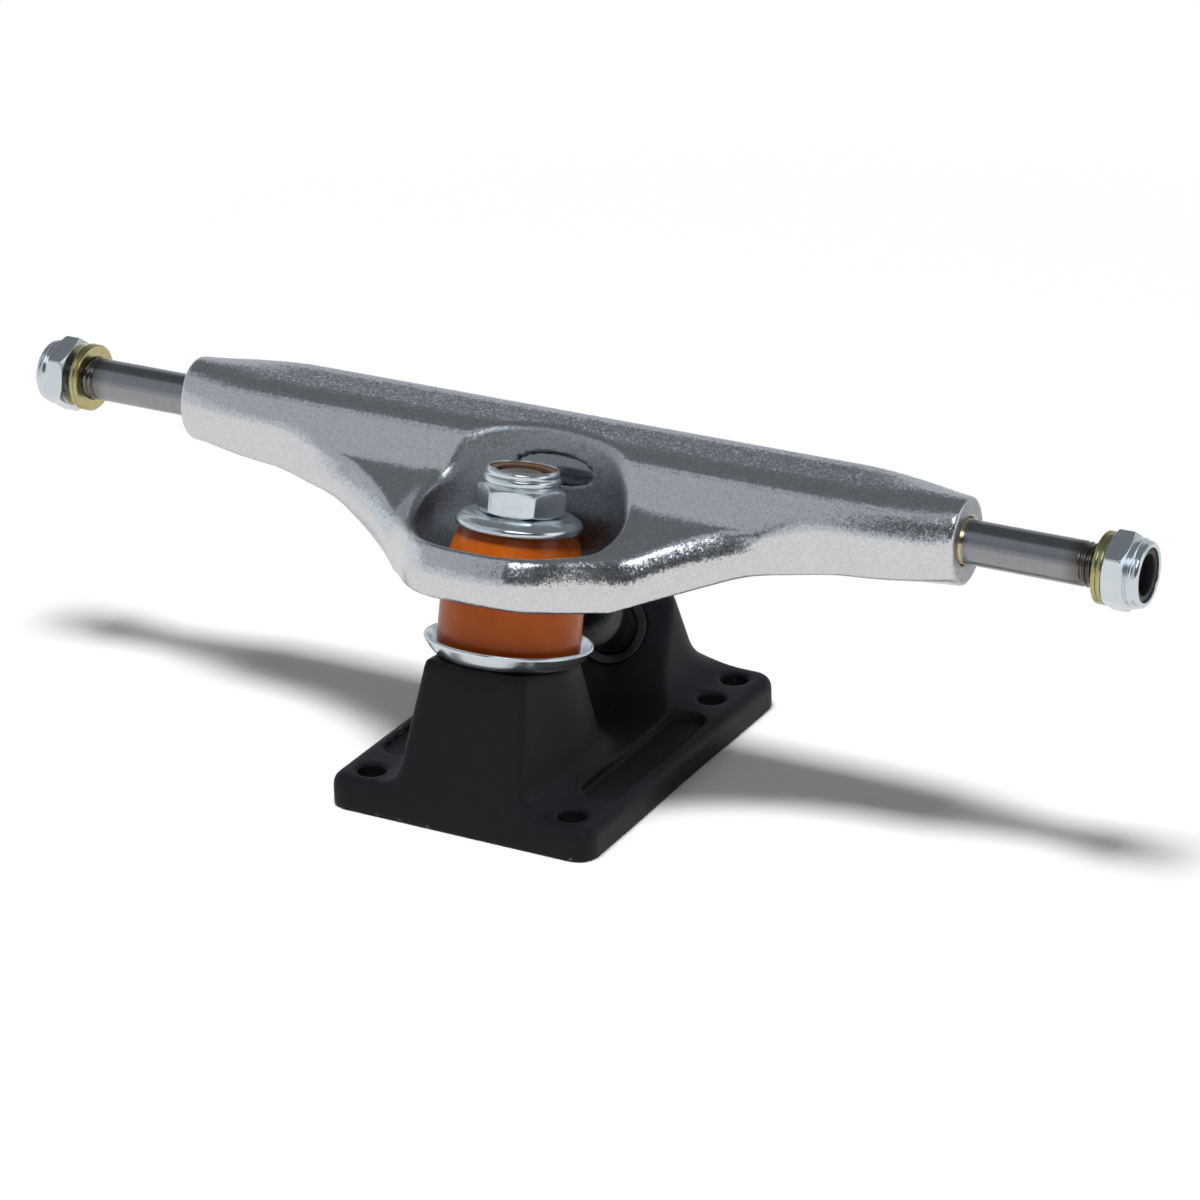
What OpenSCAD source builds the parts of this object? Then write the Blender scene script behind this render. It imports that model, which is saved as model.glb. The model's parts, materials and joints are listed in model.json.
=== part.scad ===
// Skateboard truck: cast baseplate, kingpin stack, steering hanger and wheel axle.
// The origin is the centre of the inner four-bolt pattern, on the underside of the baseplate.
// +X runs along the axle, +Y from the kingpin towards the pivot, +Z up from the mounting face.

/* [Baseplate] */
// Width of the plate, along the axle
plate_w = 54; // [52:0.5:62]
// Front wall of the plate, ahead of the pattern centre
plate_front = 33.4; // [32.5:0.1:38]
// Rear wall of the plate, behind the pattern centre
plate_rear = 42.8; // [42:0.1:48]
// Thickness of the plate
plate_t = 6; // [5:0.1:7]
// Radius of the plate's corners
plate_r = 4.5; // [3:0.1:6]
// Spacing of the bolts along the axle
bolt_x = 41.275; // [40:0.005:42.5]
// Inner spacing of the bolts along the board
bolt_y = 53.975; // [53:0.005:55]
// Step from the inner to the outer rear bolts
bolt_step = 9.525; // [8:0.005:10]
// Diameter of the bolt holes
bolt_d = 5.2; // [5:0.05:5.6]
// Length of the shallow recess along each side
recess_l = 39; // [20:0.5:42]
// Width of the side recess
recess_w = 7.2; // [4:0.1:9]
// Depth of the side recess
recess_d = 1.2; // [0.5:0.1:2]
// Lean of the front wall and kingpin tower, degrees back from upright
front_lean = 16.7; // [12:0.1:19]

/* [Kingpin stack] */
// Lean of the kingpin towards the axle, in degrees
kingpin_lean = 13; // [10:0.5:16]
// Height of the kingpin seat above the underside
seat_z = 26.5; // [25:0.1:28]
// Distance of the kingpin seat ahead of the pattern centre
seat_front = 12.6; // [11.5:0.1:13.5]
// Kingpin diameter
kingpin_d = 9.525; // [8:0.005:10]
// Hex head of the kingpin, across the flats
head_af = 14.29; // [13:0.01:15]
// Height of the kingpin's head
head_h = 6; // [4:0.1:6.5]
// Thickness of the cup washers
washer_t = 1.5; // [1:0.1:2]
// Outer diameter of the bottom cup washer
bottom_washer_d = 31; // [29.5:0.1:32]
// Outer diameter of the top cup washer
top_washer_d = 23; // [22.5:0.1:24]
// Diameter of the bottom bushing
bottom_bushing_d = 26; // [24:0.1:26.5]
// Height of the bottom bushing
bottom_bushing_h = 13; // [12:0.1:14]
// Base diameter of the conical top bushing
top_bushing_d = 25; // [23:0.1:25.4]
// Crown diameter of the top bushing, under its washer
top_bushing_crown = 20; // [18:0.1:20.4]
// Height of the top bushing
top_bushing_h = 7.2; // [6.5:0.1:9]
// Kingpin nut, across the flats
kingpin_nut_af = 14.29; // [13:0.01:15]
// Height of the kingpin nut
kingpin_nut_h = 8.3; // [7.5:0.1:9]

/* [Pivot] */
// Distance of the pivot cup's mouth behind the pattern centre
mouth_back = 26.7; // [26:0.1:27.5]
// Height of the pivot cup's mouth above the underside
mouth_z = 16.4; // [15.5:0.1:17]
// Outer diameter of the pivot cup
cup_d = 13.8; // [12.5:0.1:14.2]
// Depth of the pivot cup
cup_depth = 8; // [6.5:0.1:8.4]
// Wall of the pivot cup
cup_wall = 1.8; // [1.2:0.1:2.4]

/* [Hanger] */
// Width of the hanger between its end faces
hanger_w = 159; // [139:0.5:170]
// Height of the axle above the underside
axle_z = 55; // [53:0.1:57]
// Distance of the axle behind the pattern centre
axle_back = 10.8; // [10:0.1:12]
// Front of the bar, ahead of the axle
bar_front = 10; // [9:0.1:11]
// Back of the bar, behind the axle
bar_back = 8.3; // [7.5:0.1:9]
// Top of the bar, above the axle
bar_top = 9; // [8.5:0.1:10]
// Bottom of the bar, below the axle
bar_bottom = 8.8; // [8:0.1:9.6]
// Half width of the bar's end faces, along the board
end_half = 6; // [5.5:0.1:7]
// Top of the end faces, above the axle
end_top = 7.6; // [6:0.1:8.4]
// Bottom of the end faces, below the axle
end_bottom = 7.3; // [6:0.1:8]
// Length of the tapered bar ends
end_taper_l = 24; // [14:0.5:26]
// Reach of the front lip, ahead of the axle
lip_reach = 36.8; // [35.5:0.1:38]
// Half width of the nearly straight front of the lip
chin_half = 12; // [9:0.5:14]
// Half width at which the wings join the bar
wing_half = 48; // [44:0.5:52]
// Height of the lip above the bottom bushing's seat
lip_above = 7.5; // [6.5:0.1:8.5]
// Depth of the bottom bushing's seat, up from the lip's underside
ring_seat_depth = 2.1; // [1.5:0.1:3]
// Thickness of the ring between the two bushings
ring_web = 3.5; // [3:0.1:4.5]
// Diameter of the hole that clears the kingpin
ring_hole_d = 15; // [13:0.1:16]
// Half width of the bowl round the top bushing, at the axle's height
bowl_half = 20.2; // [18.5:0.1:21]
// How far the bowl's rear wall stops ahead of the axle
bowl_short = 4; // [3.9:0.1:5]

/* [Axle] */
// Axle diameter
axle_d = 7.94; // [7:0.01:8.5]
// Length of the axle, tip to tip
axle_l = 222.25; // [216:0.25:232]
// Length of the thread at each end
thread_l = 10.1; // [9:0.1:11]
// Axle nut, across the flats
axle_nut_af = 12.7; // [12:0.1:14]
// Length of an axle nut
axle_nut_l = 6.6; // [6:0.1:7]
// How far the axle's tip lies inside its nut
tip_recess = 2; // [0.5:0.1:2.5]
// Outer diameter of the axle washers
axle_washer_d = 12.8; // [11.5:0.1:14]
// Thickness of an axle washer
axle_washer_t = 0.9; // [0.6:0.05:1]
// Free play between the left washers and their nut
left_play = 1.6; // [0:0.1:1.6]

/* [Hidden] */
$fn = 64;

// Clearances: pieces that stay put, the kingpin's head, bushings in their seats, the pivot, axle washers
fixed_gap = 0.05;
head_gap = 0.3;
seat_gap = 0.4;
pivot_gap = 0.2;
washer_gap = 0.2;
// Overrun of a cut past the solid that it cuts
over = 1;
// Reach of a cut that clears the whole object
far = 400;

// Heights along the kingpin, from its seat on the baseplate
bushing_s = washer_t;
ring_seat_s = bushing_s + bottom_bushing_h;
bowl_floor_s = ring_seat_s + ring_web;
top_washer_s = bowl_floor_s + top_bushing_h;
nut_s = top_washer_s + washer_t;
nut_top_s = nut_s + kingpin_nut_h;
ring_mid_s = ring_seat_s + ring_web / 2;
lip_bottom_s = ring_seat_s - ring_seat_depth;
lip_top_s = ring_seat_s + lip_above;
// The kingpin's end lies just below the top of its nut
kingpin_short = 0.9;
kingpin_end_s = nut_top_s - kingpin_short;
// The head's lower flat stays clear of the mounting face
head_clear = 0.4;
head_bottom_s = (head_clear + head_af / 2 * sin(kingpin_lean) - seat_z) / cos(kingpin_lean);
head_seat_s = head_bottom_s + head_h;

// The steering axis runs from the pivot cup's mouth to the middle of the ring
seat_y = -seat_front;
ring_y = seat_y + ring_mid_s * sin(kingpin_lean);
ring_z = seat_z + ring_mid_s * cos(kingpin_lean);
steer_lift = atan2(ring_z - mouth_z, mouth_back - ring_y);

kingpin_r = kingpin_d / 2;
axle_r = axle_d / 2;
// The axle's grip in the casting is thicker than its journals, and its thread thinner
grip_step = 0.3;
grip_r = axle_r + grip_step;
thread_depth = 0.4;
thread_r = axle_r - thread_depth;
cup_r = cup_d / 2;
nose_r = cup_r - cup_wall - pivot_gap;
shoulder_x = axle_l / 2 - thread_l;
nut_out_x = axle_l / 2 + tip_recess;
nut_in_x = nut_out_x - axle_nut_l;

// Places its children along the kingpin, with height 0 on the kingpin's seat
module on_kingpin(s = 0) {
    translate([0, seat_y, seat_z]) rotate([-kingpin_lean, 0, 0]) translate([0, 0, s]) children();
}

// Places its children along the steering axis, with height 0 at the pivot cup's mouth
module on_steer_axis(t = 0) {
    translate([0, mouth_back, mouth_z]) rotate([90 - steer_lift, 0, 0]) translate([0, 0, t]) children();
}

// Places its children on the axle with their Z axis pointing out at the given end, 1 right or -1 left
module on_axle(side, x) {
    translate([side * x, axle_back, axle_z]) rotate([0, side * 90, 0]) children();
}

// A straight tube
module tube(h, r_out, r_in) {
    difference() {
        cylinder(h = h, r = r_out);
        translate([0, 0, -over]) cylinder(h = h + 2 * over, r = r_in);
    }
}

function unit(v) = v / norm(v);
function mix(a, b, t) = a + (b - a) * t;
function ease(t) = let (c = min(1, max(0, t))) c * c * (3 - 2 * c);
function bend(a, b, c, t) = mix(mix(a, b, t), mix(b, c, t), t);
function soft_min(a, b, w) = let (reach = max(0, w - abs(a - b)) / w) min(a, b) - w / 4 * reach ^ 2;

// A closed outline with each corner turned into a curve that starts the given setback from it,
// or short of the middle of a side that is too short for it
corner_steps = 3;
corner_share = 0.45;
function rounded(outline, setbacks) = let (n = len(outline)) [
    for (i = [0:n - 1])
        let (
            v = outline[i],
            a = outline[(i + n - 1) % n],
            b = outline[(i + 1) % n],
            ra = min(setbacks[i], norm(a - v) * corner_share),
            rb = min(setbacks[i], norm(b - v) * corner_share)
        )
        for (k = [0:corner_steps])
            bend(v + ra * unit(a - v), v, v + rb * unit(b - v), k / corner_steps)
];

// A solid skinned over rings of points that all run the same way round
module skin(rings) {
    m = len(rings);
    n = len(rings[0]);
    sides = [
        for (i = [0:m - 2], j = [0:n - 1])
            [i * n + j, i * n + (j + 1) % n, (i + 1) * n + (j + 1) % n, (i + 1) * n + j]
    ];
    first_cap = [for (j = [n - 1:-1:0]) j];
    last_cap = [for (j = [0:n - 1]) (m - 1) * n + j];
    points = [for (ring = rings) each ring];
    polyhedron(points = points, faces = concat([first_cap], sides, [last_cap]));
}

// Baseplate

// Foot fillet of the towers: how far the wall stands out at a height above the plate
foot_r = 4;
function foot(z) =
    let (h = min(foot_r, max(0, z - plate_t)))
    foot_r - sqrt(foot_r ^ 2 - (foot_r - h) ^ 2);

// Levels of the towers: inside the plate, up the foot fillet, half way, and past the sloping seats
tower_root = 2;
tower_top = seat_z + seat_front;
tower_levels = [
    plate_t - tower_root,
    for (share = [0, 0.1, 0.25, 0.5, 1]) plate_t + share * foot_r,
    (plate_t + seat_z) / 2,
    tower_top
];

// Kingpin tower: half widths at its front, its middle and its back, and the walls' spread per height
tower_front_half = 9;
tower_mid_half = 12.9;
tower_back_half = 6.6;
tower_mid = seat_y + 4.1;
tower_back = seat_y + 12.9;
tower_spread = 0.18;
tower_back_spread = 0.2;
tower_soft = [0.6, 0.6, 9, 6, 6, 9];
function kingpin_tower_ring(z) =
    let (
        d = tower_spread * (seat_z - z) + foot(z),
        front = -plate_front - 2 * over,
        back = tower_back + tower_back_spread * (seat_z - z) + foot(z),
        outline = [
            [tower_front_half + d, front],
            [-tower_front_half - d, front],
            [-tower_mid_half - d, tower_mid],
            [-tower_back_half - d, back],
            [tower_back_half + d, back],
            [tower_mid_half + d, tower_mid]
        ]
    )
    [for (p = rounded(outline, tower_soft)) [p[0], p[1], z]];

// Pivot tower: half width at its top edge, the wall above the cup, and the top of its rear wall
pivot_top_half = 10.3;
pivot_spread = 0.2;
pivot_wall = 1.1;
pivot_rim = cup_r + pivot_wall;
pivot_top_y = mouth_back + pivot_rim * sin(steer_lift);
pivot_top_z = mouth_z + pivot_rim * cos(steer_lift);
pivot_back_spread = 0.2;
pivot_top_land = 5.5;
pivot_front = seat_y + 14;
pivot_soft = [3, 3, 8, 8];
function pivot_tower_ring(z) =
    let (
        d = pivot_spread * (pivot_top_z - z) + foot(z),
        back = pivot_top_y + pivot_top_land + pivot_back_spread * (pivot_top_z - z) + foot(z),
        outline = [
            [pivot_top_half + d, pivot_front],
            [-pivot_top_half - d, pivot_front],
            [-pivot_top_half - d, back],
            [pivot_top_half + d, back]
        ]
    )
    [for (p = rounded(outline, pivot_soft)) [p[0], p[1], z]];

module plate_outline() {
    half = plate_w / 2;
    for (x = [-1, 1], y = [-plate_front + plate_r, plate_rear - plate_r])
        translate([x * (half - plate_r), y]) circle(r = plate_r);
    translate([-half + plate_r, -plate_front]) square([plate_w - 2 * plate_r, plate_front + plate_rear]);
    translate([-half, -plate_front + plate_r]) square([plate_w, plate_front + plate_rear - 2 * plate_r]);
}

module side_recess() {
    straight = recess_l - recess_w;
    for (y = [-straight / 2, straight / 2]) translate([0, y]) circle(d = recess_w);
    translate([-recess_w / 2, -straight / 2]) square([recess_w, straight]);
}

module bolt_holes() {
    for (x = [-bolt_x / 2, bolt_x / 2], y = [-bolt_y / 2, bolt_y / 2, bolt_y / 2 + bolt_step])
        translate([x, y, -over]) cylinder(h = plate_t + foot_r + 2 * over, d = bolt_d);
}

module baseplate() color([0.1, 0.1, 0.11]) difference() {
    union() {
        linear_extrude(height = plate_t) plate_outline();
        difference() {
            skin([for (z = tower_levels) kingpin_tower_ring(z)]);
            on_kingpin() translate([-far / 2, -far / 2, 0]) cube(far);
        }
        difference() {
            skin([for (z = tower_levels) pivot_tower_ring(z)]);
            on_steer_axis() translate([-far / 2, -far / 2, 0]) cube(far);
            translate([-far / 2, -far / 2, pivot_top_z]) cube(far);
            translate([-far / 2, plate_rear, -far / 2]) cube(far);
        }
    }
    translate([0, -plate_front, 0]) rotate([-front_lean, 0, 0])
        translate([-far / 2, -far, -far / 2]) cube(far);
    bolt_holes();
    for (x = [-bolt_x / 2, bolt_x / 2])
        translate([x, 0, plate_t - recess_d]) linear_extrude(height = foot_r + over) side_recess();
    on_kingpin(head_seat_s - over) cylinder(h = far / 4, r = kingpin_r + fixed_gap);
    on_kingpin(head_seat_s - far / 4) cylinder(h = far / 4, r = head_af / sqrt(3) + head_gap, $fn = 6);
    on_steer_axis(-cup_depth) cylinder(h = far / 8, r = cup_r + fixed_gap);
}

module pivot_cup() color([0.07, 0.07, 0.07]) on_steer_axis(-cup_depth) difference() {
    cylinder(h = cup_depth, r = cup_r);
    rotate_extrude() nose_outline(nose_r + pivot_gap, cup_wall, cup_depth + over);
}

// Half outline of a round-ended peg that stands on the height base
module nose_outline(r, base, top) {
    intersection() {
        union() {
            translate([0, base + r]) circle(r = r);
            translate([-r, base + r]) square([2 * r, top - base - r]);
        }
        translate([0, base]) square([r, top - base]);
    }
}

// Kingpin and its nut

module kingpin() color([0.62, 0.62, 0.6]) {
    on_kingpin(head_bottom_s) cylinder(h = head_h, r = head_af / sqrt(3), $fn = 6);
    on_kingpin(head_seat_s) cylinder(h = kingpin_end_s - head_seat_s, r = kingpin_r);
}

// A hex nut with chamfered corners and a round collar that holds a nylon ring
collar_share = 0.4;
collar_inset = 0.3;
collar_lip = 0.5;
insert_wall = 1.3;
insert_h_share = 0.3;
chamfer_angle = 30;
module lock_nut(af, h, thread) {
    flat_r = af / 2;
    corner_r = af / sqrt(3);
    hex_h = h * (1 - collar_share);
    chamfer_h = (corner_r - flat_r) * tan(chamfer_angle);
    insert_h = h * insert_h_share;
    difference() {
        union() {
            intersection() {
                cylinder(h = hex_h, r = corner_r, $fn = 6);
                rotate_extrude() polygon([
                    [0, 0],
                    [flat_r, 0],
                    [corner_r, chamfer_h],
                    [corner_r, hex_h - chamfer_h],
                    [flat_r, hex_h],
                    [0, hex_h]
                ]);
            }
            cylinder(h = h, r = flat_r - collar_inset);
        }
        translate([0, 0, -over]) cylinder(h = h + 2 * over, r = thread + fixed_gap);
        translate([0, 0, h - collar_lip - insert_h])
            cylinder(h = insert_h + collar_lip + over, r = thread + insert_wall);
    }
}
module lock_insert(h, thread) {
    insert_h = h * insert_h_share;
    translate([0, 0, h - collar_lip - insert_h]) tube(insert_h, thread + insert_wall, thread + fixed_gap);
}

kingpin_nut_turn = 15;
module kingpin_nut() color([0.8, 0.83, 0.85])
    on_kingpin(nut_s) rotate([0, 0, kingpin_nut_turn]) lock_nut(kingpin_nut_af, kingpin_nut_h, kingpin_r);

module kingpin_nut_insert() color([0.35, 0.25, 0.18])
    on_kingpin(nut_s) lock_insert(kingpin_nut_h, kingpin_r);

// Bushings and cup washers

// The bottom cup washer is flat under its bushing and turns up round it
rim_rise = 2.3;
rim_lip = 0.5;
module bottom_cup_washer() color([0.8, 0.83, 0.85]) on_kingpin() {
    bore_r = kingpin_r + fixed_gap;
    flat_r = bottom_bushing_d / 2 + seat_gap;
    rim_r = bottom_washer_d / 2;
    flare = rim_r - rim_lip - flat_r;
    under_r = rim_r - flare * (rim_rise + washer_t - rim_lip) / rim_rise;
    rotate_extrude() polygon([
        [bore_r, 0],
        [under_r, 0],
        [rim_r, rim_rise + washer_t - rim_lip],
        [rim_r - rim_lip, rim_rise + washer_t],
        [flat_r, washer_t],
        [bore_r, washer_t]
    ]);
}

module bottom_bushing() color([0.78, 0.32, 0.06])
    on_kingpin(bushing_s) tube(bottom_bushing_h, bottom_bushing_d / 2, kingpin_r + fixed_gap);

module top_bushing() color([0.86, 0.42, 0.05]) on_kingpin(bowl_floor_s) difference() {
    cylinder(h = top_bushing_h, d1 = top_bushing_d, d2 = top_bushing_crown);
    translate([0, 0, -over]) cylinder(h = top_bushing_h + 2 * over, r = kingpin_r + fixed_gap);
}

// The top cup washer is shallower, and turned over
top_rim_drop = 1;
top_rim_wall = 0.9;
top_dome = 2.6;
module top_cup_washer() color([0.8, 0.83, 0.85]) on_kingpin(top_washer_s) {
    bore_r = kingpin_r + fixed_gap;
    flat_r = top_bushing_crown / 2 + seat_gap;
    rim_r = top_washer_d / 2;
    rotate_extrude() polygon([
        [bore_r, 0],
        [flat_r, 0],
        [rim_r - top_rim_wall, -top_rim_drop],
        [rim_r, -top_rim_drop],
        [rim_r, top_rim_wall - top_rim_drop],
        [rim_r - top_dome, washer_t],
        [bore_r, washer_t]
    ]);
}

// Hanger

lip_y = axle_back - lip_reach;
bar_front_y = axle_back - bar_front;
bar_back_y = axle_back + bar_back;
bar_top_z = axle_z + bar_top;
bar_bottom_z = axle_z - bar_bottom;

// Height of the plane that is s along the kingpin, at a distance y
function plane_z(s, y) = seat_z + (s - sin(kingpin_lean) * (y - seat_y)) / cos(kingpin_lean);

// The lip seen from above: bowed a little across the chin, then a flank that bends back to the bar
flank_bend = [0.41, 0.81];
chin_soft = 3;
chin_bow = 0.8;
function flank_y(u) =
    let (
        v = abs(u),
        u1 = mix(chin_half, wing_half, flank_bend[0]),
        y1 = mix(lip_y, bar_front_y, flank_bend[1]),
        a = chin_half - 2 * u1 + wing_half,
        b = u1 - chin_half,
        t = v <= chin_half ? 0 : v >= wing_half ? 1 : (sqrt(b * b + a * (v - chin_half)) - b) / a
    )
    bend(lip_y, y1, bar_front_y, t);
function lip_line(u) =
    (flank_y(u - chin_soft) + 2 * flank_y(u) + flank_y(u + chin_soft)) / 4
    - chin_bow * max(0, 1 - (u / chin_half) ^ 2);

// The wings leave the ring's plane on the flank and climb to the bar, the lower edge a little sooner.
// The ridge ends in the bar's face, over the join, and past it the lip fades into the plain bar.
wing_start = chin_half * 2;
wing_merge = wing_half - 9;
join_start = wing_start + 6;
join_l = 10;
fade_start = wing_merge + 4;
fade_l = 11;
wing_soft = 2;
ridge_climb = 7.5;
ridge_curve = 1.5;
ridge_cap = axle_z - 2.8;
ridge_end = axle_z - 5;
settle_start = wing_merge - 2;
settle_l = 8;
edge_climb = 0.45;
edge_start = wing_start - 2;
edge_cap = bar_bottom_z + 0.4;
function ridge_z(u) =
    let (climb = ridge_climb * max(0, (u - wing_start) / (wing_merge - wing_start)) ^ ridge_curve)
    mix(
        soft_min(plane_z(lip_top_s, lip_line(u)) + climb, ridge_cap, wing_soft),
        ridge_end,
        ease((u - settle_start) / settle_l)
    );
function edge_z(u) =
    soft_min(plane_z(lip_bottom_s, lip_line(u)) + edge_climb * max(0, u - edge_start), edge_cap, wing_soft);

// The crease where the bar's sloping face meets the web, and the keel behind the ring
crease = [bar_front_y - 1.3, axle_z - 0.4];
keel_y = 6;
keel_half = 27;

// Corners of the bar's section: lower front edge, face, brow, crown and heel, with their roundings
bar_edge = [bar_front_y + 2.4, bar_bottom_z + 1];
bar_face = [bar_front_y, axle_z + 1.5];
bar_brow = [axle_back - 6.2, bar_top_z - 1.6];
bar_crown = [bar_back_y - 0.4, bar_top_z + 0.1];
bar_heel = [bar_back_y, bar_bottom_z + 2];
// The lip's lower edge, and the shoulder and ridge above it, measured from the lip's front
lip_under = 0.8;
shoulder_out = 1.5;
shoulder_drop = 4.4;
ridge_back = 1.3;
section_soft = [2, 3, 1.8, 1.8, 3.5, 4.6, 5, 4];
end_curve = 2.2;

// A point of the bar's section drawn in towards the smaller end face, by a share t of the way
function drawn_in(p, t) =
    let (
        y = p[0] - axle_back,
        z = p[1] - axle_z,
        share_y = end_half / (y < 0 ? bar_front : bar_back),
        share_z = z > 0 ? end_top / bar_top : end_bottom / bar_bottom
    )
    [axle_back + y * mix(1, share_y, t), axle_z + z * mix(1, share_z, t)];

// Section of the hanger at a half width u, as [y, z]: lip edge, shoulder, ridge, crease, brow, crown, heel, keel
function hanger_section(u) =
    let (
        fade = ease((u - fade_start) / fade_l),
        join = ease((u - join_start) / join_l),
        deep = ease(u / keel_half),
        taper = max(0, (u - hanger_w / 2 + end_taper_l) / end_taper_l) ^ end_curve,
        front = lip_line(u),
        edge = mix([front - lip_under, edge_z(u)], bar_edge, fade),
        fold = mix(crease, bar_face, fade),
        top = ridge_z(u),
        on_face = mix(fold, edge, (fold[1] - top) / (fold[1] - edge[1])),
        ridge = mix([front + ridge_back, top], on_face, join),
        shoulder = mix([front - shoulder_out, top - shoulder_drop], (ridge + edge) / 2, join),
        keel = mix([keel_y, plane_z(lip_bottom_s, keel_y)], [axle_back, bar_bottom_z], deep),
        outline = [edge, shoulder, ridge, fold, bar_brow, bar_crown, bar_heel, keel]
    )
    [for (p = rounded(outline, section_soft)) drawn_in(p, taper)];

// Half widths of the sections, close together round the chin, along the wings and at the ends
chin_steps = 3;
wing_steps = 14;
tip_steps = 6;
hanger_stations =
    let (
        chin_end = chin_half - chin_soft,
        wing_end = fade_start + fade_l,
        bar_end = max(wing_end + over, hanger_w / 2 - end_taper_l),
        chin = [for (i = [0:chin_steps]) chin_end * i / chin_steps],
        wing = [for (i = [1:wing_steps]) mix(chin_end, wing_end, i / wing_steps)],
        tip = [for (i = [0:tip_steps]) mix(bar_end, hanger_w / 2, sin(90 * i / tip_steps))]
    )
    concat(chin, wing, tip);

module hanger_casting() {
    right = [for (u = hanger_stations) [for (p = hanger_section(u)) [u, p[0], p[1]]]];
    left = [
        for (i = [len(hanger_stations) - 1:-1:1])
            [for (p = hanger_section(hanger_stations[i])) [-hanger_stations[i], p[0], p[1]]]
    ];
    skin(concat(left, right));
}

// The arm that carries the pivot nose down from the bar, and the round-ended nose itself
arm_r = nose_r + 1.2;
arm_reach = 7;
arm_collar = 5;
arm_half = 8;
arm_root_r = 5.5;
arm_root_z = bar_bottom_z + 3;
module pivot_arm() hull() {
    on_steer_axis(arm_reach) cylinder(h = arm_collar, r = arm_r, $fn = 32);
    for (x = [-arm_half, arm_half]) translate([x, axle_back, arm_root_z]) sphere(r = arm_root_r, $fn = 24);
}

// The bowl seen from above: a full oval that stops short of the lip's front. Its sides spread as they rise.
bowl_sides = 48;
bowl_y = axle_back - 16.8;
bowl_back = axle_back - bowl_short - bowl_y;
bowl_front = 20;
bowl_full = 2.5;
bowl_draft = 0.2;
bowl_reach = 15;
lip_wall = 2.2;
function full(c) = sign(c) * abs(c) ^ (2 / bowl_full);
function bowl_ring(rise) = [
    for (i = [0:bowl_sides - 1])
        let (
            a = 360 * i / bowl_sides,
            x = (bowl_half + bowl_draft * rise) * full(cos(a)),
            y = bowl_y + (a < 180 ? bowl_back : bowl_front) * full(sin(a))
        )
        [x, max(y, lip_line(x) + lip_wall), axle_z + rise]
];
module bowl() intersection() {
    skin([bowl_ring(bowl_reach), bowl_ring(-bowl_reach)]);
    on_kingpin(bowl_floor_s) translate([-far / 2, -far / 2, 0]) cube(far);
}

module hanger() color([0.72, 0.73, 0.75]) difference() {
    union() {
        hanger_casting();
        pivot_arm();
        on_steer_axis(-cup_depth) rotate_extrude()
            nose_outline(nose_r, cup_wall + pivot_gap, cup_depth + arm_reach + over);
    }
    bowl();
    on_kingpin(ring_seat_s - far / 8) cylinder(h = far / 8, d = bottom_bushing_d + 2 * seat_gap);
    on_kingpin(ring_seat_s - over) cylinder(h = ring_web + 2 * over, d = ring_hole_d);
    translate([-far / 2, axle_back, axle_z]) rotate([0, 90, 0]) cylinder(h = far, r = grip_r + fixed_gap);
}

// Axle, with its nuts and washers

module axle() color([0.5, 0.5, 0.51]) {
    on_axle(1, -hanger_w / 2) cylinder(h = hanger_w, r = grip_r);
    for (side = [-1, 1]) {
        on_axle(side, hanger_w / 2) cylinder(h = shoulder_x - hanger_w / 2, r = axle_r);
        on_axle(side, shoulder_x) cylinder(h = thread_l, r = thread_r);
    }
}

left_nut_turn = 8;
right_nut_turn = 54;
module axle_nut(side, turn) color([0.8, 0.83, 0.85])
    on_axle(side, nut_in_x) rotate([0, 0, turn]) lock_nut(axle_nut_af, axle_nut_l, thread_r);
module axle_nut_insert(side) color([0.12, 0.12, 0.13])
    on_axle(side, nut_in_x) lock_insert(axle_nut_l, thread_r);
module axle_washer(side, play, place) color([0.72, 0.6, 0.25])
    on_axle(side, nut_in_x - play - place * axle_washer_t)
        tube(axle_washer_t, axle_washer_d / 2, axle_r + washer_gap);

module axle_nut_left() axle_nut(-1, left_nut_turn);
module axle_nut_right() axle_nut(1, right_nut_turn);
module axle_nut_insert_left() axle_nut_insert(-1);
module axle_nut_insert_right() axle_nut_insert(1);
module inner_washer_left() axle_washer(-1, left_play, 2);
module outer_washer_left() axle_washer(-1, left_play, 1);
module inner_washer_right() axle_washer(1, 0, 2);
module outer_washer_right() axle_washer(1, 0, 1);

baseplate();
pivot_cup();
kingpin();
kingpin_nut();
kingpin_nut_insert();
bottom_cup_washer();
bottom_bushing();
top_bushing();
top_cup_washer();
hanger();
axle();
axle_nut_left();
axle_nut_right();
axle_nut_insert_left();
axle_nut_insert_right();
inner_washer_left();
outer_washer_left();
inner_washer_right();
outer_washer_right();
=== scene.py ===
import json

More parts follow.
